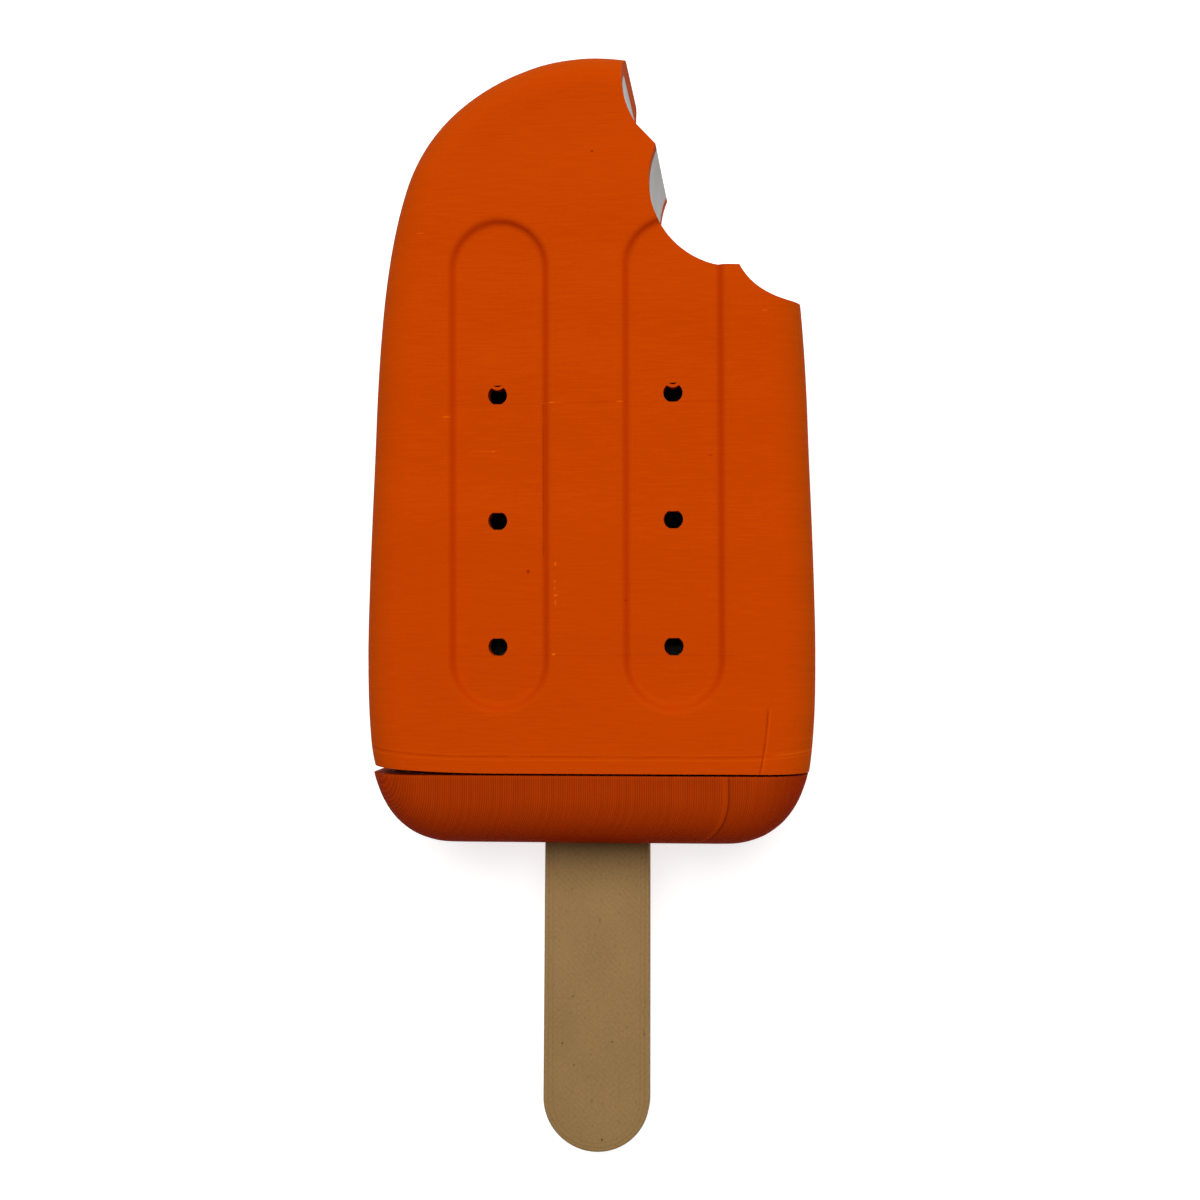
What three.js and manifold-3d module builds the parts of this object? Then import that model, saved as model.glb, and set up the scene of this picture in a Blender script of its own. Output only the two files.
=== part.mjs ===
// An ice lolly of printed plastic, lying on its back: an orange shell with a bite out of one shoulder, the white
// core that shows in the bite, an orange end cap and the flat stick that the cap holds.
import * as THREE from "three";
import { mergeVertices } from "three/addons/utils/BufferGeometryUtils.js";
import Module from "manifold-3d";

const wasm = await Module();
wasm.setup();

// Driving dimensions in millimetres. X runs across the lolly, Y from the stick's end to the dome and Z from the
// back to the front. X and Y are 0 at the middle of the whole, and Z is 0 at the back, which lies on the table.
const LENGTH = 100.6;
const WIDTH = 40.58;
const THICKNESS = 20.2;
const BODY_LENGTH = 64.56; // from the top of the dome to the seam with the end cap
const SEAM_GAP = 0.2;
const CAP_HEIGHT = 6.39;
const STICK_WIDTH = 9.9;
const STICK_THICKNESS = 2;

const SEAM = LENGTH / 2 - BODY_LENGTH;
const CAP_TOP = SEAM - SEAM_GAP;
const CAP_BOTTOM = CAP_TOP - CAP_HEIGHT;
const STICK_END = -LENGTH / 2;
const FRONT = THICKNESS;
const MIDDLE = THICKNESS / 2;

// The outline seen from the front, as half widths x at places y: from the flat bottom through a rounded corner to
// the widest line, up the tapering body and over the dome. The print leans to the right by a trace above that line.
const OUTLINE_KNOTS = [
  { x: 11.5, y: -20.72 }, { x: 13.22, y: -20.67 }, { x: 14.35, y: -20.47 }, { x: 15.89, y: -19.88 },
  { x: 17.25, y: -18.9 }, { x: 18.11, y: -17.92 }, { x: 18.72, y: -16.94 }, { x: 19.16, y: -15.95 },
  { x: 19.65, y: -14.37 }, { x: 20.13, y: -10 }, { x: WIDTH / 2, y: -4 }, { x: 20.18, y: 2 },
  { x: 19.97, y: 8 }, { x: 19.72, y: 14 }, { x: 19.49, y: 20 }, { x: 19.18, y: 25 },
  { x: 18.75, y: 29.5 }, { x: 18.15, y: 33.5 }, { x: 17.37, y: 37 }, { x: 16.39, y: 40 },
  { x: 15.06, y: 42.5 }, { x: 13.49, y: 44.5 }, { x: 11.89, y: 46 }, { x: 10.16, y: 47.25 },
  { x: 8.37, y: 48.27 }, { x: 6.64, y: 49.03 }, { x: 3.86, y: 49.89 }, { x: 0, y: LENGTH / 2 },
];
const LEAN = { from: -4, slope: 0.0045 };
const TURN_STEP = THREE.MathUtils.degToRad(4.5); // the outline's corners turn by about this much

// Edges between the faces and the sides are rounded, more on the end cap than on the body.
const BODY_ROUND = 3.7;
const CAP_ROUND = 4.5;
const CAP_FLARE = 0.13; // the end cap stands out this far past the body's outline
const CAP_SHIFT = -0.15; // and it sits this far off the body's middle
const ROUND_STEPS = 6;
const INNER_ROUND_STEPS = 3;

// The shell's wall, which is thinner at the sides, the slit between it and the core, and the core's own wall round
// the hollow behind the vents.
const SHELL_WALL = 1.8;
const SIDE_WALL = 1.3;
const CORE_GAP = 0.2;
const CORE_WALL = 1.6;
const CORE_RECESS = 1; // the core stops this far short of the seam
const HOLLOW_TOP = 22.4;
const HOLLOW_ROUND = 0.6;

// The bite is three scallops, each an arc about its centre between two angles in degrees. Short straight cusps join
// one arc's end to the next one's start.
const SCALLOPS = [
  { x: 12.05, y: 47.98, radius: 8.78, from: 90, to: 212.2 },
  { x: 13.55, y: 38.33, radius: 7.85, from: 156.5, to: 257.5 },
  { x: 18.78, y: 33.17, radius: 5.69, from: 206.9, to: 270 },
];
const SCALLOP_STEPS = 18;

// Two shallow grooves with soft walls on the front and two on the back. Three vent holes lie along each front one,
// narrow in the shell and wider in the core behind it.
const GROOVE = { centres: [-7.72, 7.82], halfWidth: 4.2, top: 34.9, bottom: -8.51, depth: 0.5, wall: 1.1 };
const GROOVE_STEPS = 5;
const GROOVE_END_STEPS = 14;
const VENT = { centres: [-7.89, 7.78], radius: 0.86, coreRadius: 1.8, sides: 16, middle: 8.19, pitch: 11.22 };

// The body's lower left corner has lifted off the end cap, as a print warps: from this place out to the side the
// seam opens by up to this much.
const WARP = { from: -7.5, lift: 0.55 };

const STICK_SEAT = 4.8; // how far the stick runs up into the end cap
const STICK_PLACE = { x: 0.12, turn: THREE.MathUtils.degToRad(-0.4) }; // it sits a trace off the middle and askew
const STICK_EDGE = 0.25;
const STICK_CLEARANCE = 0.2;

const BEYOND = 5; // how far a cutting body reaches past what it cuts

const ORANGE = new THREE.MeshStandardMaterial({ color: 0xd9560b, roughness: 0.55, metalness: 0 });
const CAP_ORANGE = new THREE.MeshStandardMaterial({ color: 0xc04a10, roughness: 0.6, metalness: 0 });
const WHITE = new THREE.MeshStandardMaterial({ color: 0xe4e4e2, roughness: 0.5, metalness: 0 });
const TAN = new THREE.MeshStandardMaterial({ color: 0xb59468, roughness: 0.7, metalness: 0 });

function toSolid(geometry) {
  const bare = geometry.index ? geometry.toNonIndexed() : geometry.clone();
  bare.deleteAttribute("normal");
  bare.deleteAttribute("uv");
  const merged = mergeVertices(bare, 1e-4);
  const mesh = new wasm.Mesh({
    numProp: 3,
    vertProperties: merged.attributes.position.array,
    triVerts: new Uint32Array(merged.index.array),
  });
  return new wasm.Manifold(mesh);
}

function toGeometry(solid) {
  const { vertProperties, triVerts } = solid.getMesh();
  const geometry = new THREE.BufferGeometry();
  geometry.setAttribute("position", new THREE.BufferAttribute(new Float32Array(vertProperties), 3));
  geometry.setIndex(new THREE.BufferAttribute(new Uint32Array(triVerts), 1));
  geometry.computeVertexNormals();
  return geometry;
}

// A closed body through rings of equally many points, each ring anticlockwise seen from the front, back ring first.
function loft(rings) {
  const count = rings[0].points.length;
  const positions = rings.flatMap(({ points, z }) => points.flatMap(({ x, y }) => [x, y, z]));
  const lid = THREE.ShapeUtils.triangulateShape(rings[0].points, []);
  const last = (rings.length - 1) * count;
  const index = [];
  for (const [a, b, c] of lid) {
    index.push(a, c, b);
    index.push(last + a, last + b, last + c);
  }
  for (let ring = 0; ring + 1 < rings.length; ring++) {
    for (let i = 0; i < count; i++) {
      const a = ring * count + i;
      const b = ring * count + ((i + 1) % count);
      index.push(a, b, b + count);
      index.push(a, b + count, a + count);
    }
  }
  const geometry = new THREE.BufferGeometry();
  geometry.setAttribute("position", new THREE.Float32BufferAttribute(positions, 3));
  geometry.setIndex(index);
  return toSolid(geometry);
}

// A body cut straight through from back to front along a flat shape.
function throughCut(shape, steps) {
  const options = { depth: THICKNESS + 2 * BEYOND, bevelEnabled: false, curveSegments: steps };
  return toSolid(new THREE.ExtrudeGeometry(shape, options).translate(0, 0, -BEYOND));
}

// The outline's points with their outward directions, anticlockwise from the middle of the end cap's bottom.
function traceOutline() {
  const v = (x, y) => new THREE.Vector2(x, y);
  const overTop = { x: -OUTLINE_KNOTS.at(-2).x, y: OUTLINE_KNOTS.at(-2).y }; // makes the dome level at its top
  const knots = [...OUTLINE_KNOTS, overTop].map(({ x, y }) => new THREE.Vector3(x, y, 0));
  const curve = new THREE.CatmullRomCurve3(knots, false, "centripetal");
  const spans = knots.length - 1;
  const right = [{ point: v(0, knots[0].y), out: v(0, -1) }];
  for (let span = 0; span + 1 < spans; span++) {
    const turn = curve.getTangent(span / spans).angleTo(curve.getTangent((span + 1) / spans));
    const steps = Math.max(1, Math.round(turn / TURN_STEP));
    for (let i = 0; i < steps; i++) {
      const share = (span + i / steps) / spans;
      const point = curve.getPoint(share);
      const tangent = curve.getTangent(share);
      right.push({ point: v(point.x, point.y), out: v(tangent.y, -tangent.x) });
    }
  }
  const top = { point: v(0, OUTLINE_KNOTS.at(-1).y), out: v(0, 1) };
  const left = right.slice(1).map(({ point, out }) => ({ point: v(-point.x, point.y), out: v(-out.x, out.y) }));
  const whole = [...right, top, ...left.reverse()];
  for (const { point } of whole) point.x += LEAN.slope * Math.max(0, point.y - LEAN.from);
  return whole;
}

const OUTLINE = traceOutline();

function outlineInset(inset) {
  return OUTLINE.map(({ point, out }) => point.clone().addScaledVector(out, -inset));
}

// The whole lolly's form with its edges rounded, its faces drawn in by one distance and its sides by another.
function lollyForm(inset, round, steps, sideInset = inset) {
  const rings = [];
  for (let i = 0; i <= steps; i++) {
    const angle = (Math.PI / 2) * (i / steps);
    const rise = round * (1 - Math.cos(angle));
    rings.push({ points: outlineInset(sideInset + round * (1 - Math.sin(angle))), rise });
  }
  const back = rings.map(({ points, rise }) => ({ points, z: inset + rise }));
  const front = rings.map(({ points, rise }) => ({ points, z: FRONT - inset - rise }));
  return loft([...back, ...front.reverse()]);
}

// Everything below a level line across the lolly, whose left end can rise as the warped corner does.
function below(level, lift) {
  const shape = new THREE.Shape();
  shape.moveTo(-WIDTH, -LENGTH);
  shape.lineTo(WIDTH, -LENGTH);
  shape.lineTo(WIDTH, level);
  shape.lineTo(WARP.from, level);
  const corner = -WIDTH / 2;
  shape.quadraticCurveTo((WARP.from + corner) / 2, level, corner, level + lift);
  shape.lineTo(-WIDTH, level + 2 * lift);
  return throughCut(shape, SCALLOP_STEPS / 2);
}

function above(level) {
  const shape = new THREE.Shape();
  shape.moveTo(-WIDTH, level);
  shape.lineTo(WIDTH, level);
  shape.lineTo(WIDTH, LENGTH);
  shape.lineTo(-WIDTH, LENGTH);
  return throughCut(shape, 1);
}

function bite() {
  const shape = new THREE.Shape();
  const first = SCALLOPS[0];
  shape.moveTo(first.x, LENGTH);
  for (const { x, y, radius, from, to } of SCALLOPS) {
    shape.absarc(x, y, radius, THREE.MathUtils.degToRad(from), THREE.MathUtils.degToRad(to), false);
  }
  const last = SCALLOPS.at(-1);
  shape.lineTo(WIDTH, last.y - last.radius);
  shape.lineTo(WIDTH, LENGTH);
  return throughCut(shape, SCALLOP_STEPS);
}

// A groove's round-ended outline at some half width.
function grooveRing(x, halfWidth) {
  const points = [];
  const upper = GROOVE.top - GROOVE.halfWidth;
  const lower = GROOVE.bottom + GROOVE.halfWidth;
  for (const [y, start] of [[upper, 0], [lower, Math.PI]]) {
    for (let i = 0; i <= GROOVE_END_STEPS; i++) {
      const angle = start + (Math.PI * i) / GROOVE_END_STEPS;
      points.push(new THREE.Vector2(x + halfWidth * Math.cos(angle), y + halfWidth * Math.sin(angle)));
    }
  }
  return points;
}

// What a groove takes out of the front, or out of the back: its wall leans out and is soft at foot and rim.
function groove(x, onFront) {
  const rings = [];
  for (let i = 0; i <= GROOVE_STEPS; i++) {
    const share = i / GROOVE_STEPS;
    const climb = THREE.MathUtils.smoothstep(share, 0, 1);
    const halfWidth = GROOVE.halfWidth + GROOVE.wall * (share - 0.5);
    rings.push({ points: grooveRing(x, halfWidth), height: GROOVE.depth * (climb - 1) });
  }
  rings.push({ points: rings.at(-1).points, height: BEYOND });
  if (onFront) return loft(rings.map(({ points, height }) => ({ points, z: FRONT + height })));
  return loft(rings.map(({ points, height }) => ({ points, z: -height })).reverse());
}

// The vent holes, from well outside the front down to the middle of the hollow.
function vents(radius) {
  const holes = [];
  for (const x of VENT.centres) {
    for (const row of [-1, 0, 1]) {
      const hole = new THREE.CylinderGeometry(radius, radius, THICKNESS, VENT.sides);
      hole.rotateX(Math.PI / 2).translate(x, VENT.middle + row * VENT.pitch, FRONT);
      holes.push(toSolid(hole));
    }
  }
  return holes.reduce((all, hole) => all.add(hole));
}

function bodyShell() {
  let shell = lollyForm(0, BODY_ROUND, ROUND_STEPS);
  shell = shell.subtract(lollyForm(SHELL_WALL, BODY_ROUND - SHELL_WALL, INNER_ROUND_STEPS, SIDE_WALL));
  for (const x of GROOVE.centres) {
    for (const onFront of [true, false]) shell = shell.subtract(groove(x, onFront));
  }
  return shell.subtract(bite()).subtract(vents(VENT.radius)).subtract(below(SEAM, WARP.lift));
}

function core() {
  const inset = SHELL_WALL + CORE_GAP;
  const hollow = lollyForm(inset + CORE_WALL, HOLLOW_ROUND, INNER_ROUND_STEPS).subtract(above(HOLLOW_TOP));
  const whole = lollyForm(inset, BODY_ROUND - inset, INNER_ROUND_STEPS, SIDE_WALL + CORE_GAP);
  const open = whole.subtract(hollow).subtract(vents(VENT.coreRadius));
  return open.subtract(bite()).subtract(below(SEAM + CORE_RECESS, 0));
}

// A body with the stick's outline, wider and longer at its seat by some margin, in the stick's place.
function stickBody(margin, options) {
  const halfWidth = STICK_WIDTH / 2 + margin;
  const seat = CAP_BOTTOM + STICK_SEAT + margin;
  const shape = new THREE.Shape();
  shape.moveTo(halfWidth, seat);
  shape.lineTo(-halfWidth, seat);
  shape.absarc(0, STICK_END + STICK_WIDTH / 2, halfWidth, Math.PI, 2 * Math.PI, false);
  const geometry = new THREE.ExtrudeGeometry(shape, options).translate(0, -CAP_BOTTOM, 0);
  geometry.rotateZ(STICK_PLACE.turn).translate(STICK_PLACE.x, CAP_BOTTOM, MIDDLE - options.depth / 2);
  return toSolid(geometry);
}

function stick() {
  const bevel = { bevelThickness: STICK_EDGE, bevelSize: STICK_EDGE, bevelOffset: -STICK_EDGE, bevelSegments: 2 };
  return stickBody(0, { depth: STICK_THICKNESS - 2 * STICK_EDGE, curveSegments: 24, ...bevel });
}

function baseCap() {
  const depth = STICK_THICKNESS + 2 * STICK_CLEARANCE;
  const slot = stickBody(STICK_CLEARANCE, { depth, curveSegments: 6, bevelEnabled: false });
  const whole = lollyForm(0, CAP_ROUND, ROUND_STEPS, -CAP_FLARE).translate([CAP_SHIFT, 0, 0]);
  return whole.subtract(above(CAP_TOP)).subtract(slot);
}

const lolly = new THREE.Group();

function addPiece(name, solid, material) {
  const mesh = new THREE.Mesh(toGeometry(solid), material);
  mesh.name = name;
  lolly.add(mesh);
}

addPiece("body_shell", bodyShell(), ORANGE);
addPiece("core", core(), WHITE);
addPiece("base_cap", baseCap(), CAP_ORANGE);
addPiece("stick", stick(), TAN);

export default lolly;
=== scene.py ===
"""The looks of an ice lolly of printed plastic that lies on its back: smooth pieces with printed surfaces
stand for the faceted solids of the frame. Lengths are in millimetres until a mesh is made, then in metres."""
import math

import bmesh
import bpy
import numpy as np
from mathutils import Matrix, Vector


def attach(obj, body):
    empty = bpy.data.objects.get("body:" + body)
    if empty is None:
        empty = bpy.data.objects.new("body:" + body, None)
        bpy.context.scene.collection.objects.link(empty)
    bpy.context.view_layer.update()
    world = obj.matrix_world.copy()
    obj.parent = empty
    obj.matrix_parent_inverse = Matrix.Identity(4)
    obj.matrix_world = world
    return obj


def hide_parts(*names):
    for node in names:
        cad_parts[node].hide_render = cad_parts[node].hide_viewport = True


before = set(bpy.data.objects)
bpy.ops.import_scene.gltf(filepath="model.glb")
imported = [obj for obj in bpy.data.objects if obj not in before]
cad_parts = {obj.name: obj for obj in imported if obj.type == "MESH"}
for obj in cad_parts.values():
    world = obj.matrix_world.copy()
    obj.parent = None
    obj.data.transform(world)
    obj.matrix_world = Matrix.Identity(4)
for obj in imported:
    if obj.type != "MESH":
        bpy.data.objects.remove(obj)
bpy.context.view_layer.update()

MM = 0.001

# The forms. Their main dimensions are those of the solids, and fine relief is added to them.
LENGTH, WIDTH, THICKNESS = 100.6, 40.58, 20.2
MIDDLE = THICKNESS / 2
SEAM = -14.26
CAP_TOP = -14.46
CAP_BOTTOM = -20.85
OUTLINE_KNOTS = [
    (11.5, -20.72), (13.22, -20.67), (14.35, -20.47), (15.89, -19.88), (17.25, -18.9), (18.11, -17.92),
    (18.72, -16.94), (19.16, -15.95), (19.65, -14.37), (20.13, -10), (WIDTH / 2, -4), (20.18, 2),
    (19.97, 8), (19.72, 14), (19.49, 20), (19.18, 25), (18.75, 29.5), (18.15, 33.5), (17.37, 37),
    (16.39, 40), (15.06, 42.5), (13.49, 44.5), (11.89, 46), (10.16, 47.25), (8.37, 48.27), (6.64, 49.03),
    (3.86, 49.89), (0, LENGTH / 2),
]
LEAN_FROM, LEAN_SLOPE = -4, 0.0045
BODY_ROUND, CAP_ROUND = 3.7, 4.5
CAP_FLARE, CAP_SHIFT = 0.13, -0.15
SHELL_WALL, SIDE_WALL = 1.8, 1.3
# The bite's arcs: centre, radius, and the angles in degrees where each starts and ends.
SCALLOPS = [
    (12.05, 47.98, 8.78, 90, 212.2), (13.55, 38.33, 7.85, 156.5, 257.5), (18.78, 33.17, 5.69, 206.9, 270),
]
GROOVE_CENTRES = (-7.72, 7.82)
GROOVE_HALF_WIDTH, GROOVE_TOP, GROOVE_BOTTOM, GROOVE_DEPTH, GROOVE_WALL = 4.2, 34.9, -8.51, 0.5, 1.1
# At the upper end, where the print hung over, this share of the groove's wall falls over this short width.
STEEP_SHARE, STEEP_WALL = 0.38, 0.35
VENT_CENTRES = (-7.89, 7.78)
VENT_RADIUS, VENT_CORE_RADIUS, VENT_MIDDLE, VENT_PITCH = 0.86, 1.8, 8.19, 11.22
WARP_FROM, WARP_LIFT = -7.5, 0.55
CORE_RECESS, CORE_WALL = 1, 1.6
CORE_GAP = 0.01  # keeps the core's skin off the shell's
HOLLOW_TOP, HOLLOW_ROUND = 22.4, 0.6
STICK_WIDTH, STICK_THICKNESS, STICK_SEAT, STICK_EDGE = 9.9, 2.0, 4.8, 0.25
STICK_X, STICK_TURN = 0.12, math.radians(-0.4)
SLOT_GAP, SLOT_THICKNESS, SLOT_EDGE = 0.03, 2.04, 0.05
STICK_BROADEST, STICK_NARROWING = 1.006, 0.018
TAPER_FROM, TAPER_LENGTH = -38, 17

OUTLINE_STEP = 0.36
ROUND_STEPS = 14
FACE_RINGS, CAP_RINGS = 96, 12
AXIS_LOW, AXIS_HIGH = -8.0, 32.0  # the flat faces' rings close in on this stretch of the middle line
BEYOND = 5.0


# ---- outline ----

def catmull_rom(knots, steps):
    """Points of a centripetal Catmull-Rom curve through the knots."""
    knots = [np.array(k, float) for k in knots]
    over_top = knots[-2] * (-1, 1)  # makes the dome level at its top
    ends = [2 * knots[0] - knots[1]] + knots + [over_top]
    points = []
    for p0, p1, p2, p3 in zip(ends, ends[1:], ends[2:], ends[3:]):
        t1 = np.linalg.norm(p1 - p0) ** 0.5
        t2 = t1 + np.linalg.norm(p2 - p1) ** 0.5
        t3 = t2 + np.linalg.norm(p3 - p2) ** 0.5
        for i in range(steps):
            t = t1 + (t2 - t1) * i / steps
            a1 = p0 * (t1 - t) / t1 + p1 * t / t1
            a2 = p1 * (t2 - t) / (t2 - t1) + p2 * (t - t1) / (t2 - t1)
            a3 = p2 * (t3 - t) / (t3 - t2) + p3 * (t - t2) / (t3 - t2)
            b1 = a1 * (t2 - t) / t2 + a2 * t / t2
            b2 = a2 * (t3 - t) / (t3 - t1) + a3 * (t - t1) / (t3 - t1)
            points.append(b1 * (t2 - t) / (t2 - t1) + b2 * (t - t1) / (t2 - t1))
    points.append(knots[-1])
    return np.array(points)


def trace_outline():
    """The outline's points and outward directions, anticlockwise from the bottom. The two sides match."""
    curve = np.vstack([[0, OUTLINE_KNOTS[0][1]], catmull_rom(OUTLINE_KNOTS, 24)])
    lengths = np.concatenate([[0], np.cumsum(np.linalg.norm(np.diff(curve, axis=0), axis=1))])
    places = np.linspace(0, lengths[-1], round(lengths[-1] / OUTLINE_STEP) + 1)
    right = np.column_stack([np.interp(places, lengths, curve[:, k]) for k in (0, 1)])
    ahead = np.column_stack([np.interp(places + 0.4, lengths, curve[:, k]) for k in (0, 1)])
    behind = np.column_stack([np.interp(places - 0.4, lengths, curve[:, k]) for k in (0, 1)])
    tangent = ahead - behind
    out = np.column_stack([tangent[:, 1], -tangent[:, 0]])
    out /= np.linalg.norm(out, axis=1)[:, None]
    out[0], out[-1] = (0, -1), (0, 1)
    mirror = np.array([-1, 1])
    points = np.vstack([right, right[-2:0:-1] * mirror])
    return points, np.vstack([out, out[-2:0:-1] * mirror])


OUTLINE, OUTWARD = trace_outline()


def lean(points):
    """The whole print leans to the right by a trace above its widest line."""
    points[:, 0] += LEAN_SLOPE * np.maximum(0, points[:, 1] - LEAN_FROM)
    return points


# ---- meshes ----

def make_object(name, vertices, faces):
    mesh = bpy.data.meshes.new(name)
    mesh.from_pydata([tuple(v) for v in np.asarray(vertices) * MM], [], faces)
    mesh.update()
    obj = bpy.data.objects.new(name, mesh)
    bpy.context.scene.collection.objects.link(obj)
    return obj


def weld(obj, distance=1e-3 * MM):
    work = bmesh.new()
    work.from_mesh(obj.data)
    bmesh.ops.remove_doubles(work, verts=work.verts, dist=distance)
    bmesh.ops.dissolve_degenerate(work, edges=work.edges, dist=distance)
    bmesh.ops.recalc_face_normals(work, faces=work.faces)
    work.to_mesh(obj.data)
    work.free()
    return obj


def ring_body(name, rings):
    """A closed body through rings of equally many points. The first and the last ring have no width."""
    count = len(rings[0])
    faces = []
    for ring in range(len(rings) - 1):
        for i in range(count):
            a, b = ring * count + i, ring * count + (i + 1) % count
            faces.append((a, b, b + count, a + count))
    return weld(make_object(name, np.vstack(rings), faces))


def soft_step(place):
    """0 to 1 around 0, over a length of 1."""
    share = np.clip(place + 0.5, 0, 1)
    return share * share * (3 - 2 * share)


def groove_depth(x, y):
    """How deep the grooves are at each place, with walls that are soft at foot and rim."""
    depth = np.zeros_like(x)
    for centre in GROOVE_CENTRES:
        low, high = GROOVE_BOTTOM + GROOVE_HALF_WIDTH, GROOVE_TOP - GROOVE_HALF_WIDTH
        away = np.hypot(x - centre, y - np.clip(y, low, high)) - GROOVE_HALF_WIDTH
        steep = STEEP_SHARE * np.clip((y - high) / GROOVE_HALF_WIDTH, 0, 1)
        climb = (1 - steep) * soft_step(away / GROOVE_WALL) + steep * soft_step(away / STEEP_WALL)
        depth = np.maximum(depth, GROOVE_DEPTH * (1 - climb))
    return depth


def no_relief(x, y):
    return np.zeros_like(x)


def lolly_form(name, inset, rounding, side_inset=None, relief=no_relief, face_rings=2, round_steps=4):
    """The whole lolly's form with its edges rounded, its faces and its sides drawn in."""
    side = inset if side_inset is None else side_inset
    flat = lean(OUTLINE - OUTWARD * (side + rounding))
    axis = lean(np.column_stack([np.zeros(len(OUTLINE)), np.clip(OUTLINE[:, 1], AXIS_LOW, AXIS_HIGH)]))
    half = []
    for i in range(face_rings, 0, -1):
        share = i / face_rings
        points = flat + (axis - flat) * share
        half.append((points, relief(points[:, 0], points[:, 1])))
    for i in range(round_steps + 1):
        angle = math.pi / 2 * i / round_steps
        points = lean(OUTLINE - OUTWARD * (side + rounding * (1 - math.sin(angle))))
        sink = relief(points[:, 0], points[:, 1]) * math.cos(angle) + rounding * (1 - math.cos(angle))
        half.append((points, sink))
    back = [np.column_stack([p, inset + s]) for p, s in half]
    front = [np.column_stack([p, THICKNESS - inset - s]) for p, s in half]
    return ring_body(name, back + front[::-1])


def prism(name, contour, low=-BEYOND):
    """A body from some level right through the front along a flat contour, anticlockwise."""
    high = THICKNESS + BEYOND
    count = len(contour)
    vertices = [(x, y, low) for x, y in contour] + [(x, y, high) for x, y in contour]
    faces = [tuple(range(count))[::-1], tuple(range(count, 2 * count))]
    faces += [(i, (i + 1) % count, (i + 1) % count + count, i + count) for i in range(count)]
    return make_object(name, vertices, faces)


def cut_one(obj, tool):
    """Cuts the tool out of the object, and removes the tool."""
    modifier = obj.modifiers.new("cut", "BOOLEAN")
    modifier.object, modifier.operation, modifier.solver = tool, "DIFFERENCE", "MANIFOLD"
    dependencies = bpy.context.evaluated_depsgraph_get()
    mesh = bpy.data.meshes.new_from_object(obj.evaluated_get(dependencies))
    obj.modifiers.clear()
    old, obj.data = obj.data, mesh
    bpy.data.meshes.remove(old)
    used = tool.data
    bpy.data.objects.remove(tool)
    bpy.data.meshes.remove(used)


def cut(obj, *tools):
    for tool in tools:
        cut_one(obj, tool)
    return obj


def arc(x, y, radius, start, end, steps):
    angles = np.radians(np.linspace(start, end, steps + 1))
    return [(x + radius * math.cos(a), y + radius * math.sin(a)) for a in angles]


def bite():
    contour = [(SCALLOPS[0][0], LENGTH)]
    for x, y, radius, start, end in SCALLOPS:
        contour += arc(x, y, radius, start, end, 72)
    contour += [(WIDTH, contour[-1][1]), (WIDTH, LENGTH)]
    return prism("bite", contour)


def below(level, lift):
    corner = -WIDTH / 2
    contour = [(-WIDTH, -LENGTH), (WIDTH, -LENGTH), (WIDTH, level), (WARP_FROM, level)]
    for i in range(1, 33):
        t = i / 32
        x = (1 - t) ** 2 * WARP_FROM + t * (1 - t) * (WARP_FROM + corner) + t * t * corner
        contour.append((x, level + lift * t * t))
    contour.append((-WIDTH, level + 2 * lift))
    return prism("below", contour)


def above(level):
    return prism("above", [(-WIDTH, level), (WIDTH, level), (WIDTH, LENGTH), (-WIDTH, LENGTH)])


def vent(x, y, radius, sag):
    """A vent hole with a sagging roof and a slightly flat floor, as holes in the side of a print have."""
    contour = []
    for angle in np.linspace(0, 2 * math.pi, 64, endpoint=False):
        px, py = math.cos(angle), math.sin(angle)
        roof = 0.9 - sag * max(0, 1 - (px / 0.75) ** 2)
        contour.append((x + radius * px, y + radius * min(max(py, -0.93), roof)))
    return prism("vent", contour, MIDDLE)


def slit(x, y, half=0.38, height=0.14):
    """The narrow gap that a hanging strand leaves below the real roof of its hole."""
    lens = [(x + u, y + height * (u / half) ** 2) for u in np.linspace(-half, half, 21)]
    return prism("slit", lens, MIDDLE)


def vents():
    """The shell's vent holes. A strand hangs in the roof of each top one."""
    slit_rise = 0.74
    tools = []
    for x in VENT_CENTRES:
        for row, sag in ((-1, 0.05), (0, 0.06), (1, 0.36)):
            tools.append(vent(x, VENT_MIDDLE + row * VENT_PITCH, VENT_RADIUS, sag))
        tools.append(slit(x, VENT_MIDDLE + VENT_PITCH + slit_rise))
    return tools


def core_vents():
    return [vent(x, VENT_MIDDLE + row * VENT_PITCH, VENT_CORE_RADIUS, 0)
            for x in VENT_CENTRES for row in (-1, 0, 1)]


def smooth(obj, angle=32):
    for polygon in obj.data.polygons:
        polygon.use_smooth = True
    obj.data.set_sharp_from_angle(angle=math.radians(angle))


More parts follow.
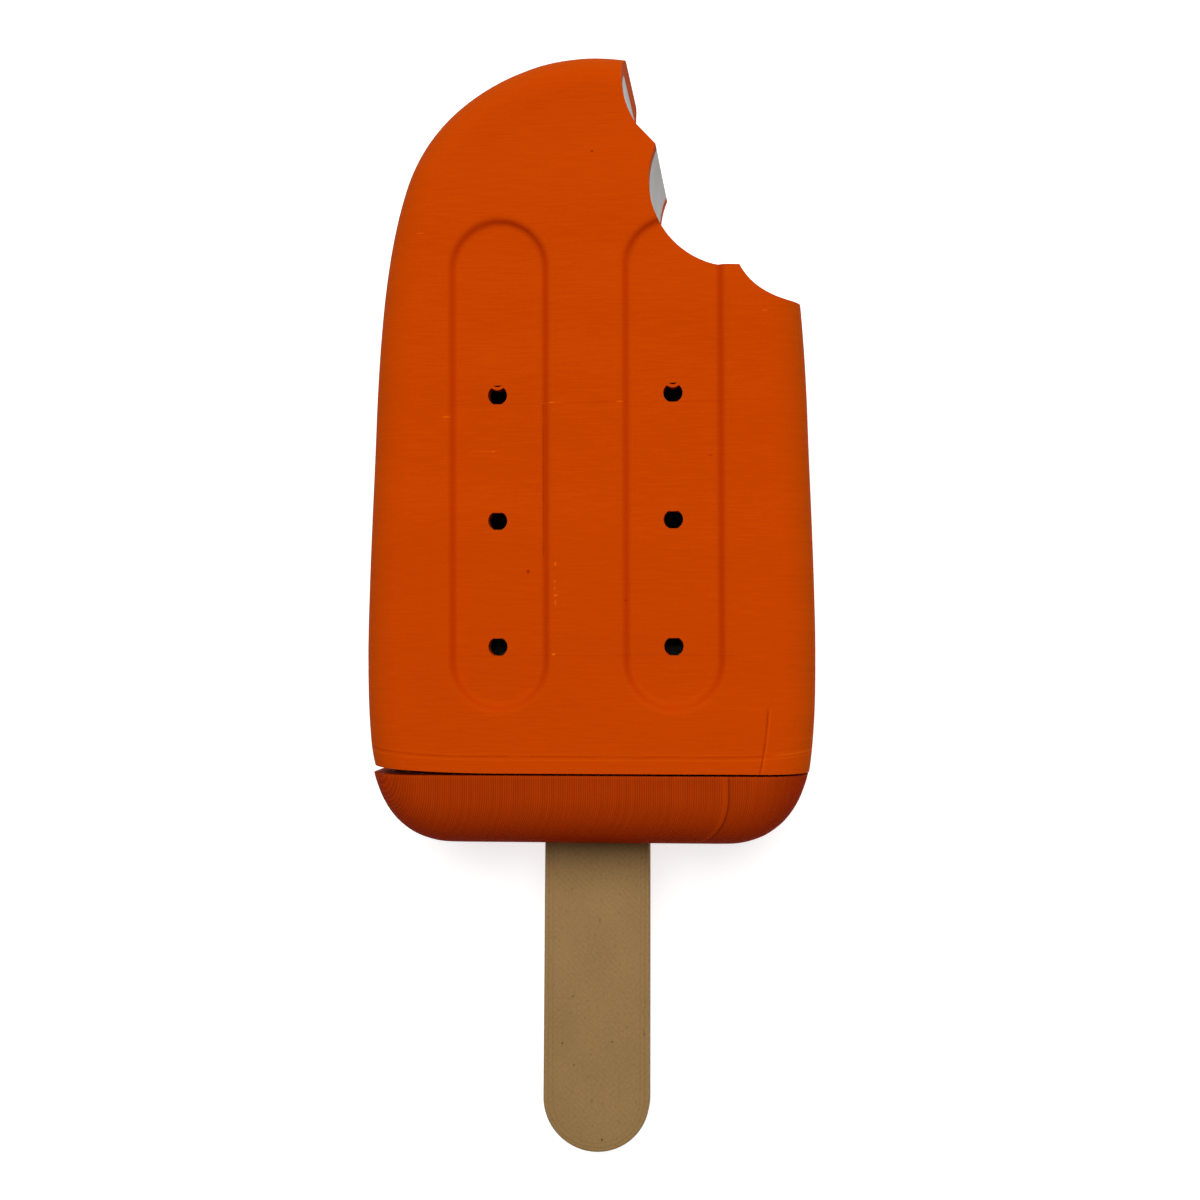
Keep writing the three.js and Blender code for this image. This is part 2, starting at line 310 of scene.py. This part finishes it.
def stick_body(name, margin, thickness, edge, edge_steps, curve_steps):
    """A body with the stick's outline, larger by some margin, with its edges rounded."""
    half_width = STICK_WIDTH / 2 + margin
    seat = CAP_BOTTOM + STICK_SEAT + margin
    layers = []
    for side in (-1, 1):
        turns = range(edge_steps + 1) if side < 0 else range(edge_steps, -1, -1)
        for i in turns:
            angle = math.pi / 2 * i / max(1, edge_steps)
            inset = edge * (1 - math.sin(angle))
            z = side * (thickness / 2 - edge * (1 - math.cos(angle)))
            layers.append((inset, z))
    rows = []
    for inset, z in layers:
        points = [(half_width - inset, seat - inset), (-half_width + inset, seat - inset)]
        points += arc(0, -LENGTH / 2 + STICK_WIDTH / 2, half_width - inset, 180, 360, curve_steps)
        rows.append([(x, y, z) for x, y in points])
    count = len(rows[0])
    faces = [tuple(range(count))[::-1], tuple(range((len(rows) - 1) * count, len(rows) * count))]
    for row in range(len(rows) - 1):
        for i in range(count):
            a, b = row * count + i, row * count + (i + 1) % count
            faces.append((a, b, b + count, a + count))
    vertices = np.array([p for row in rows for p in row])
    x, y = vertices[:, 0].copy(), vertices[:, 1] - CAP_BOTTOM
    cosine, sine = math.cos(STICK_TURN), math.sin(STICK_TURN)
    vertices[:, 0] = x * cosine - y * sine + STICK_X
    vertices[:, 1] = x * sine + y * cosine + CAP_BOTTOM
    vertices[:, 2] += MIDDLE
    return make_object(name, vertices, faces)


# ---- materials ----

WARM_GLOSS = (1.0, 0.85, 0.05, 1)  # the orange print's gloss looks yellow, not white
ORANGE_IOR = 1.12  # and it stays weak at a grazing angle


class Nodes:
    """Short ways to add shader nodes to one material."""

    def __init__(self, name):
        self.material = bpy.data.materials.new(name)
        self.material.use_nodes = True
        self.tree = self.material.node_tree
        self.shader = self.tree.nodes["Principled BSDF"]
        self.coordinates = self.tree.nodes.new("ShaderNodeTexCoord")
        scale = self.add("ShaderNodeVectorMath", operation="SCALE")
        scale.inputs["Scale"].default_value = 1 / MM
        self.link(self.coordinates.outputs["Object"], scale.inputs[0])
        self.place = scale.outputs[0]

    def add(self, kind, **settings):
        node = self.tree.nodes.new(kind)
        for key, value in settings.items():
            setattr(node, key, value)
        return node

    def link(self, source, target):
        self.tree.links.new(source, target)

    def put(self, socket, value):
        if isinstance(value, bpy.types.NodeSocket):
            self.link(value, socket)
        else:
            socket.default_value = value

    def math(self, operation, *values):
        node = self.add("ShaderNodeMath", operation=operation)
        for socket, value in zip(node.inputs, values):
            self.put(socket, value)
        return node.outputs[0]

    def squares(self, first, second):
        return self.math("ADD", self.math("MULTIPLY", first, first), self.math("MULTIPLY", second, second))

    def axes(self):
        node = self.add("ShaderNodeSeparateXYZ")
        self.link(self.place, node.inputs[0])
        return node.outputs

    def steepness(self):
        """0 on the flat faces to 1 on the sides, from the piece's own shape."""
        node = self.add("ShaderNodeSeparateXYZ")
        self.link(self.coordinates.outputs["Normal"], node.inputs[0])
        return self.spread(self.math("ABSOLUTE", node.outputs[2]), 1.0, 0.45)

    def near(self, offset, half):
        """1 where the offset is 0, falling to 0 at some distance."""
        return self.spread(self.math("ABSOLUTE", offset), 0, half, 1, 0)

    def window(self, value, low, high, soft):
        rise = self.spread(value, low - soft, low + soft)
        return self.math("MULTIPLY", rise, self.spread(value, high - soft, high + soft, 1, 0))

    def spots(self, x, y, spots):
        """The strongest of some soft oval spots: each is its place, half width, half height and strength."""
        total = 0.0
        for middle_x, middle_y, half_x, half_y, strength in spots:
            across = self.math("DIVIDE", self.math("SUBTRACT", x, middle_x), half_x)
            along = self.math("DIVIDE", self.math("SUBTRACT", y, middle_y), half_y)
            squares = self.squares(across, along)
            total = self.math("MAXIMUM", total, self.spread(squares, 0.1, 1, strength, 0))
        return total

    def vector(self, x, y, z):
        node = self.add("ShaderNodeCombineXYZ")
        for socket, value in zip(node.inputs, (x, y, z)):
            self.put(socket, value)
        return node.outputs[0]

    def noise(self, vector, scale, detail=2.0, roughness=0.5):
        node = self.add("ShaderNodeTexNoise")
        self.link(vector, node.inputs["Vector"])
        node.inputs["Scale"].default_value = scale
        node.inputs["Detail"].default_value = detail
        node.inputs["Roughness"].default_value = roughness
        return node.outputs["Fac"]

    def stretch(self, factors):
        node = self.add("ShaderNodeVectorMath", operation="MULTIPLY")
        self.link(self.place, node.inputs[0])
        node.inputs[1].default_value = factors
        return node.outputs[0]

    def spread(self, value, low, high, to_low=0.0, to_high=1.0):
        node = self.add("ShaderNodeMapRange", clamp=True)
        for socket, number in zip(node.inputs, (value, low, high, to_low, to_high)):
            self.put(socket, number)
        return node.outputs[0]

    def blend(self, share, first, second):
        node = self.add("ShaderNodeMix", data_type="RGBA")
        self.put(node.inputs["Factor"], share)
        self.put(node.inputs["A"], first)
        self.put(node.inputs["B"], second)
        return node.outputs["Result"]

    def tinted(self, colour, base, shade):
        """A colour times a base colour times a shade."""
        node = self.add("ShaderNodeVectorMath", operation="MULTIPLY")
        self.link(colour, node.inputs[0])
        node.inputs[1].default_value = base
        scale = self.add("ShaderNodeVectorMath", operation="SCALE")
        self.link(node.outputs[0], scale.inputs[0])
        self.put(scale.inputs["Scale"], shade)
        return scale.outputs[0]

    def bump(self, height, distance):
        node = self.add("ShaderNodeBump")
        node.inputs["Strength"].default_value = 1.0
        node.inputs["Distance"].default_value = distance * MM
        self.link(height, node.inputs["Height"])
        return node.outputs["Normal"]

    def painted_groove_shade(self, x, y):
        """Where the grooves get painted shade: 1 on the middle of a groove's wall, falling to 0 at its foot
        and rim, and less at the lower end, whose wall faces the light.
        """
        middle_x = (GROOVE_CENTRES[0] + GROOVE_CENTRES[1]) / 2
        half_gap = (GROOVE_CENTRES[1] - GROOVE_CENTRES[0]) / 2
        middle_y = (GROOVE_TOP + GROOVE_BOTTOM) / 2
        straight = (GROOVE_TOP - GROOVE_BOTTOM) / 2 - GROOVE_HALF_WIDTH
        aside = self.math("ABSOLUTE", self.math("SUBTRACT", x, middle_x))
        across = self.math("SUBTRACT", aside, half_gap)
        along = self.math("ABSOLUTE", self.math("SUBTRACT", y, middle_y))
        along = self.math("MAXIMUM", self.math("SUBTRACT", along, straight), 0)
        squares = self.squares(across, along)
        off = self.math("SUBTRACT", self.math("SQRT", squares), GROOVE_HALF_WIDTH)
        fade = self.spread(y, GROOVE_BOTTOM, GROOVE_BOTTOM + GROOVE_HALF_WIDTH, 0.45, 1.0)
        return self.math("MULTIPLY", self.near(off, 0.4 * GROOVE_WALL), fade)

    def finish(self, colour, roughness, normal=None, specular=0.5, tint=(1, 1, 1, 1), ior=1.45):
        self.put(self.shader.inputs["Base Color"], colour)
        self.put(self.shader.inputs["Roughness"], roughness)
        self.shader.inputs["Specular IOR Level"].default_value = specular
        self.shader.inputs["Specular Tint"].default_value = tint
        self.shader.inputs["IOR"].default_value = ior
        if normal is not None:
            self.link(normal, self.shader.inputs["Normal"])
        return self.material


# Small marks on the front of the shell: place, half width, half height and strength of each.
LIGHT_MARKS = [
    (-12.42, 17.49, 0.42, 0.07, 0.9), (-8.27, 14.4, 0.25, 0.07, 0.7), (-8.9, 14.42, 1.7, 0.04, 0.35),
    (-2.98, 18.65, 0.35, 0.07, 0.8), (-3.1, 18.62, 1.6, 0.045, 0.4), (3.09, 18.65, 0.35, 0.07, 0.8),
    (-2.67, 4.3, 0.13, 0.25, 0.7), (-2.72, 2.75, 0.12, 0.13, 0.6), (-2.73, 2.17, 0.12, 0.13, 0.6),
    (-2.64, 1.51, 0.22, 0.12, 0.8), (-2.66, 0.85, 0.12, 0.3, 0.5), (-2.84, -3.7, 0.22, 0.12, 1.0),
    (-14.79, 34.03, 0.5, 0.06, 0.5), (15.88, 26.48, 0.35, 0.06, 0.7),
]
DARK_MARKS = [
    (-5.16, 3.66, 0.2, 0.22, 0.7), (11.08, 13.82, 0.25, 0.1, 0.5), (3.57, 1.05, 0.2, 0.12, 0.5),
    (0.7, 40.95, 0.16, 0.13, 0.8),
]
STEP_LEVEL = -12.76  # a step between two layers runs right across the front here, and climbs at both sides


def shell_lines(n, x, y):
    """Dark and light lines on the front: the step, two fainter layers, and the scars where loops end."""
    left, right = n.spread(x, -10.5, -20.0), n.spread(x, 12.0, 20.0)
    climb = n.math("MULTIPLY", n.math("MULTIPLY", left, left), 0.8)
    climb = n.math("ADD", climb, n.math("MULTIPLY", n.math("MULTIPLY", right, right), 0.55))
    above_step = n.math("SUBTRACT", n.math("SUBTRACT", y, STEP_LEVEL), climb)
    beside_scar = n.spread(x, 15.4, 15.9, 1.0, 0.35)
    dark = n.math("MULTIPLY", n.near(above_step, 0.1), n.math("MULTIPLY", beside_scar, 0.42))
    light = n.math("MULTIPLY", n.near(n.math("ADD", above_step, 0.3), 0.1), 0.2)
    upper_light = n.math("MULTIPLY", n.near(n.math("SUBTRACT", above_step, 0.2), 0.1), 0.1)
    light = n.math("MAXIMUM", light, upper_light)
    past_scar = n.math("MULTIPLY", n.spread(x, 16.0, 17.5), n.near(above_step, 0.12))
    light = n.math("MAXIMUM", light, n.math("MULTIPLY", past_scar, 0.45))
    for level, low, high in ((18.62, -13.0, 12.8), (-3.84, -10.3, 13.6)):
        line = n.math("MULTIPLY", n.near(n.math("SUBTRACT", y, level), 0.09), n.window(x, low, high, 0.8))
        dark = n.math("MAXIMUM", dark, n.math("MULTIPLY", line, 0.2))
    scar = n.math("MULTIPLY", n.near(n.math("ADD", x, 3.76), 0.09), n.window(y, 5.0, 18.7, 0.3))
    dark = n.math("MAXIMUM", dark, n.math("MULTIPLY", scar, 0.55))
    down = n.spread(y, -8.55, -14.12)
    curve = n.math("MULTIPLY", n.math("MULTIPLY", down, down), 0.44)
    bend = n.math("ADD", n.math("MULTIPLY", down, 0.3), curve)
    beside = n.math("SUBTRACT", n.math("ADD", x, bend), 16.01)
    scar = n.math("MULTIPLY", n.near(beside, 0.13), n.spread(y, -8.4, -8.9))
    dark = n.math("MAXIMUM", dark, n.math("MULTIPLY", scar, 0.6))
    rim = n.math("MULTIPLY", n.near(n.math("SUBTRACT", beside, 0.22), 0.12), n.spread(y, -8.4, -8.9))
    gaps = n.spread(n.noise(n.stretch((0.5, 0.5, 0.1)), 1.0, 2.0), 0.3, 0.55, 0.35, 1.0)
    return n.math("MULTIPLY", dark, gaps), n.math("MAXIMUM", light, n.math("MULTIPLY", rim, 0.2))


def shell_material():
    """Orange print with faint, uneven layer bands across it and the small marks that printing leaves."""
    n = Nodes("orange_shell")
    x, y, z = n.axes()
    fine = n.noise(n.stretch((0.3, 5.0, 0.3)), 1.0, 2.0, 0.6)
    broken = n.noise(n.stretch((0.9, 8.0, 0.9)), 1.0, 1.0)
    wide = n.noise(n.stretch((0.03, 0.16, 0.05)), 1.0, 1.0)
    grain = n.noise(n.stretch((4.0, 4.0, 4.0)), 1.0, 2.0)
    steep = n.steepness()
    layers = n.noise(n.stretch((0.02, 2.4, 0.02)), 1.0, 2.0, 0.6)
    bands = n.math("MULTIPLY", n.math("SUBTRACT", layers, 0.5), steep)
    tint = n.math("ADD", n.math("MULTIPLY", fine, 0.45), n.math("MULTIPLY", wide, 0.25))
    small = n.math("ADD", n.math("MULTIPLY", broken, 0.15), n.math("MULTIPLY", grain, 0.15))
    tint = n.math("ADD", tint, small)
    colour = n.blend(n.spread(tint, 0.3, 0.7), (0.430, 0.0415, 0.0003, 1), (0.512, 0.0522, 0.0003, 1))
    # Painted shade and a painted yellow sheen: the rounded sides turn darker and yellower as they tilt away
    # from the front.
    colour = n.blend(n.math("MULTIPLY", steep, 0.85), colour, (0.385, 0.0510, 0.0003, 1))
    colour = n.tinted(colour, (1, 1, 1), n.spread(bands, -0.25, 0.25, 0.93, 1.07))
    front = n.spread(z, 15.0, 16.0)
    # Painted shade in the grooves: their walls are darkened and reddened, less so at the lower end.
    wall = n.math("MULTIPLY", n.painted_groove_shade(x, y), 0.6)
    colour = n.blend(wall, colour, (0.430, 0.0220, 0.0003, 1))
    dark, light = shell_lines(n, x, y)
    dark = n.math("MULTIPLY", n.math("MAXIMUM", dark, n.spots(x, y, DARK_MARKS)), front)
    light = n.math("MULTIPLY", n.math("MAXIMUM", light, n.spots(x, y, LIGHT_MARKS)), front)
    colour = n.blend(dark, colour, (0.22, 0.0080, 0.0002, 1))
    colour = n.blend(light, colour, (0.70, 0.1050, 0.0020, 1))
    height = n.math("ADD", fine, n.math("MULTIPLY", broken, 0.35))
    height = n.math("ADD", height, n.math("MULTIPLY", bands, 5.0))
    roughness = n.spread(broken, 0.3, 0.7, 0.5, 0.6)
    return n.finish(colour, roughness, n.bump(height, 0.008), 0.04, WARM_GLOSS, ORANGE_IOR)


LAYER = 0.2
LAYER_TILT = 0.82  # the end cap's layers climb this much towards the side for each length towards the front
CAP_SCAR = 12.59


def cap_material():
    """Darker orange print. Its layers lie in tilted planes, which run along the lolly on the flat front."""
    n = Nodes("orange_cap")
    x, y, z = n.axes()
    plane = n.math("SUBTRACT", x, n.math("MULTIPLY", n.math("SUBTRACT", z, THICKNESS), LAYER_TILT))
    layers = n.math("SINE", n.math("MULTIPLY", plane, 2 * math.pi / LAYER))
    uneven = n.noise(n.vector(n.math("MULTIPLY", plane, 2.6), n.math("MULTIPLY", y, 0.05), 0.0), 1.0, 1.0)
    cloud = n.noise(n.stretch((0.25, 0.4, 0.25)), 1.0, 1.0)
    tint = n.math("ADD", n.math("MULTIPLY", layers, 0.35), n.math("MULTIPLY", uneven, 0.7))
    tint = n.math("ADD", tint, n.math("MULTIPLY", cloud, 0.3))
    # Painted shade: the cap's rounded sides and bottom edge turn darker and redder as they tilt away from the
    # front.
    colour = n.blend(n.math("MULTIPLY", n.steepness(), 0.7), (1.0, 1.0, 1.0, 1), (0.74, 0.38, 0.6, 1))
    shade = n.spread(tint, 0.05, 0.95, 0.80, 1.20)
    colour = n.tinted(colour, (0.312, 0.0288, 0.0010), shade)
    front = n.spread(z, 12.0, 13.0)
    beside = n.math("SUBTRACT", plane, CAP_SCAR)
    band = n.math("MULTIPLY", n.window(beside, -0.55, -0.15, 0.05), n.math("MULTIPLY", front, 0.3))
    colour = n.blend(band, colour, (0.45, 0.0450, 0.0010, 1))
    scar = n.math("MULTIPLY", n.near(beside, 0.14), front)
    colour = n.blend(n.math("MULTIPLY", scar, 0.6), colour, (0.12, 0.0050, 0.0004, 1))
    rim = n.math("MULTIPLY", n.spread(y, CAP_TOP - 0.35, CAP_TOP - 0.1), 0.25)
    colour = n.blend(rim, colour, (0.45, 0.0450, 0.0010, 1))
    height = n.math("ADD", layers, n.math("MULTIPLY", uneven, 0.8))
    height = n.math("SUBTRACT", height, n.math("MULTIPLY", scar, 3.0))
    roughness = n.spread(uneven, 0.3, 0.7, 0.5, 0.62)
    return n.finish(colour, roughness, n.bump(height, 0.012), 0.04, WARM_GLOSS, ORANGE_IOR)


def core_material():
    """Light grey-white print with faint layers across it."""
    n = Nodes("white_core")
    fine = n.noise(n.stretch((0.05, 5.0, 0.3)), 1.0, 2.0, 0.6)
    cloud = n.noise(n.stretch((0.4, 0.4, 0.4)), 1.0, 1.0)
    tint = n.math("ADD", n.math("MULTIPLY", fine, 0.5), n.math("MULTIPLY", cloud, 0.5))
    colour = n.blend(n.spread(tint, 0.3, 0.7), (0.325, 0.321, 0.308, 1), (0.352, 0.348, 0.334, 1))
    return n.finish(colour, n.spread(cloud, 0.3, 0.7, 0.45, 0.6), n.bump(fine, 0.02), 0.1)


STICK_SPECKS = [
    (-2.2, -35.8, 0.16, 0.1, 0.7), (0.49, -49.1, 0.13, 0.16, 0.9), (-3.2, -40.2, 0.14, 0.12, 0.7),
    (-2.11, -42.2, 0.12, 0.12, 0.6), (1.46, -40.0, 0.18, 0.1, 0.6), (0.36, -28.71, 0.07, 0.3, 0.5),
    (4.43, -39.09, 0.08, 0.5, 0.4),
]
LINE_WIDTH = 0.42


def stick_material():
    """Tan print with faint slanted raster lines, lines along its edges and small dark specks."""
    n = Nodes("tan_stick")
    x, y, _ = n.axes()
    pitch = LINE_WIDTH * math.sqrt(2)
    shake = n.noise(n.stretch((0.6, 0.6, 0.2)), 1.0, 2.0)
    slant = n.math("MULTIPLY", n.math("ADD", x, y), 2 * math.pi / pitch)
    first = n.math("SINE", n.math("ADD", slant, n.math("MULTIPLY", shake, 3.0)))
    second = n.math("SINE", n.math("MULTIPLY", n.math("SUBTRACT", x, y), 2 * math.pi / pitch))
    patch = n.spread(n.noise(n.stretch((0.35, 0.35, 0.35)), 1.0, 1.0), 0.35, 0.65)
    first = n.math("MULTIPLY", first, patch)
    second = n.math("MULTIPLY", second, n.math("SUBTRACT", 1.0, patch))
    grain = n.noise(n.stretch((3.6, 3.6, 3.6)), 1.0, 3.0, 0.7)
    cloud = n.noise(n.stretch((0.3, 0.2, 0.3)), 1.0, 2.0)
    speck = n.spread(n.noise(n.stretch((2.4, 1.7, 2.4)), 1.0, 2.0, 0.7), 0.64, 0.72)
    tint = n.math("ADD", n.math("MULTIPLY", first, 0.035), n.math("MULTIPLY", second, 0.03))
    tint = n.math("ADD", tint, n.math("ADD", n.math("MULTIPLY", grain, 0.7), n.math("MULTIPLY", cloud, 0.3)))
    colour = n.blend(n.spread(tint, 0.2, 0.8), (0.210, 0.124, 0.047, 1), (0.305, 0.184, 0.070, 1))
    colour = n.blend(n.math("MULTIPLY", speck, 0.35), colour, (0.13, 0.075, 0.028, 1))
    colour = n.blend(n.spots(x, y, STICK_SPECKS), colour, (0.06, 0.03, 0.012, 1))
    askew = n.math("MULTIPLY", n.math("ADD", y, -CAP_BOTTOM), -STICK_TURN)
    aside = n.math("SUBTRACT", n.math("SUBTRACT", x, STICK_X), askew)
    past_end = n.math("MAXIMUM", n.math("SUBTRACT", STICK_WIDTH / 2 - LENGTH / 2, y), 0.0)
    inward = n.math("SUBTRACT", STICK_WIDTH / 2, n.math("SQRT", n.squares(aside, past_end)))
    loop = n.math("MAXIMUM", n.near(n.math("SUBTRACT", inward, LINE_WIDTH), 0.1),
                  n.math("MULTIPLY", n.near(n.math("SUBTRACT", inward, 2 * LINE_WIDTH), 0.1), 0.7))
    colour = n.blend(n.math("MULTIPLY", loop, 0.3), colour, (0.15, 0.085, 0.032, 1))
    height = n.math("ADD", n.math("MULTIPLY", n.math("ADD", first, second), 0.2), grain)
    height = n.math("SUBTRACT", height, loop)
    return n.finish(colour, n.spread(grain, 0.3, 0.7, 0.6, 0.75), n.bump(height, 0.015), 0.1)


def floor_material():
    n = Nodes("pale_floor")
    mottle = n.noise(n.stretch((0.02, 0.02, 0.02)), 1.0, 2.0)
    colour = n.blend(mottle, (0.55, 0.55, 0.55, 1), (0.57, 0.57, 0.57, 1))
    n.shader.inputs["Emission Color"].default_value = (1, 1, 1, 1)
    n.shader.inputs["Emission Strength"].default_value = FLOOR_GLOW
    return n.finish(colour, 0.9, None, 0.1)


# ---- pieces ----

def place(obj, material, node, slot):
    smooth(obj)
    obj.data.materials.clear()
    obj.data.materials.append(material)
    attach(obj, "root")
    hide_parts(node)


def draw_corner_in(obj, side=-15, top=-11.5, reach=0.2):
    """The warped corner also draws in a little towards the seam."""
    for vertex in obj.data.vertices:
        if vertex.co.x < side * MM and vertex.co.y < top * MM:
            share = (top * MM - vertex.co.y) / ((top - SEAM) * MM)
            vertex.co.x += reach * MM * share * share


def taper(obj):
    """The stick is a trace narrower towards the end cap."""
    for vertex in obj.data.vertices:
        share = min(max((vertex.co.y / MM - TAPER_FROM) / TAPER_LENGTH, 0), 1)
        vertex.co.x *= STICK_BROADEST - STICK_NARROWING * share


shell = lolly_form("shell_print", 0, BODY_ROUND, None, groove_depth, FACE_RINGS, ROUND_STEPS)
inner = lolly_form("hollow", SHELL_WALL, BODY_ROUND - SHELL_WALL, SIDE_WALL)
cut(shell, inner, bite(), *vents(), below(SEAM, WARP_LIFT))
draw_corner_in(shell)
place(shell, shell_material(), "body_shell", "orange_shell")

core_inset = SHELL_WALL + CORE_GAP
core = lolly_form("core_print", core_inset, BODY_ROUND - core_inset, SIDE_WALL + CORE_GAP)
hollow = cut(lolly_form("hollow", core_inset + CORE_WALL, HOLLOW_ROUND), above(HOLLOW_TOP))
cut(core, hollow, bite(), *core_vents(), below(SEAM + CORE_RECESS, 0))
place(core, core_material(), "core", "white_core")

cap = lolly_form("cap_print", 0, CAP_ROUND, -CAP_FLARE, no_relief, CAP_RINGS, ROUND_STEPS)
cap.data.transform(Matrix.Translation((CAP_SHIFT * MM, 0, 0)))
cut(cap, above(CAP_TOP), stick_body("slot", SLOT_GAP, SLOT_THICKNESS, SLOT_EDGE, 1, 24))
place(cap, cap_material(), "base_cap", "orange_cap")

stick = stick_body("stick_print", 0, STICK_THICKNESS, STICK_EDGE, 4, 96)
taper(stick)
place(stick, stick_material(), "stick", "tan_stick")

# ---- stage ----

FLOOR_GLOW = 0.72
FLOOR_REACH, FLOOR_LEVEL = 2000, -0.03
corners = [(FLOOR_REACH * x, FLOOR_REACH * y, FLOOR_LEVEL) for x, y in ((-1, -1), (1, -1), (1, 1), (-1, 1))]
floor = make_object("floor", corners, [(0, 1, 2, 3)])
floor.data.materials.append(floor_material())

camera = bpy.data.objects.new("camera", bpy.data.cameras.new("camera"))
bpy.context.scene.collection.objects.link(camera)
camera.data.lens, camera.data.sensor_width = 50, 36
camera.data.clip_start, camera.data.clip_end = 0.005, 20
CAMERA_PLACE = Vector((14.813, -1.56, 166.739)) * MM
CAMERA_RIGHT = Vector((0.99576, -0.00298, -0.09189))
CAMERA_UP = Vector((0.00462, 0.99983, 0.01762))
CAMERA_AHEAD = Vector((-0.09182, 0.01797, -0.99561))
turn = Matrix((CAMERA_RIGHT, CAMERA_UP, -CAMERA_AHEAD)).transposed().to_4x4()
camera.matrix_world = Matrix.Translation(CAMERA_PLACE) @ turn
bpy.context.scene.camera = camera


def area_light(name, position, target, size, power):
    data = bpy.data.lights.new(name, "AREA")
    data.shape, data.size, data.energy = "DISK", size, power
    obj = bpy.data.objects.new(name, data)
    bpy.context.scene.collection.objects.link(obj)
    obj.location = position
    obj.rotation_euler = (Vector(target) - Vector(position)).to_track_quat("-Z", "Y").to_euler()


area_light("key", (0.03, 0.27, 0.66), (0, 0.01, 0.01), 0.55, 6.35)


def studio_world(horizon=0.66, overhead=0.08, horizon_top=0.3):
    """White walls that are light at the horizon, as the floor is, and dim overhead."""
    world = bpy.data.worlds.new("studio")
    world.use_nodes = True
    tree = world.node_tree
    direction = tree.nodes.new("ShaderNodeTexCoord")
    split = tree.nodes.new("ShaderNodeSeparateXYZ")
    fade = tree.nodes.new("ShaderNodeMapRange")
    fade.interpolation_type = "SMOOTHSTEP"
    for socket, number in zip(fade.inputs[1:], (0.0, horizon_top, horizon, overhead)):
        socket.default_value = number
    background = tree.nodes["Background"]
    background.inputs["Color"].default_value = (1, 1, 1, 1)
    tree.links.new(direction.outputs["Generated"], split.inputs[0])
    tree.links.new(split.outputs["Z"], fade.inputs["Value"])
    tree.links.new(fade.outputs[0], background.inputs["Strength"])
    return world


bpy.context.scene.world = studio_world()
bpy.context.scene.view_settings.view_transform = "Standard"
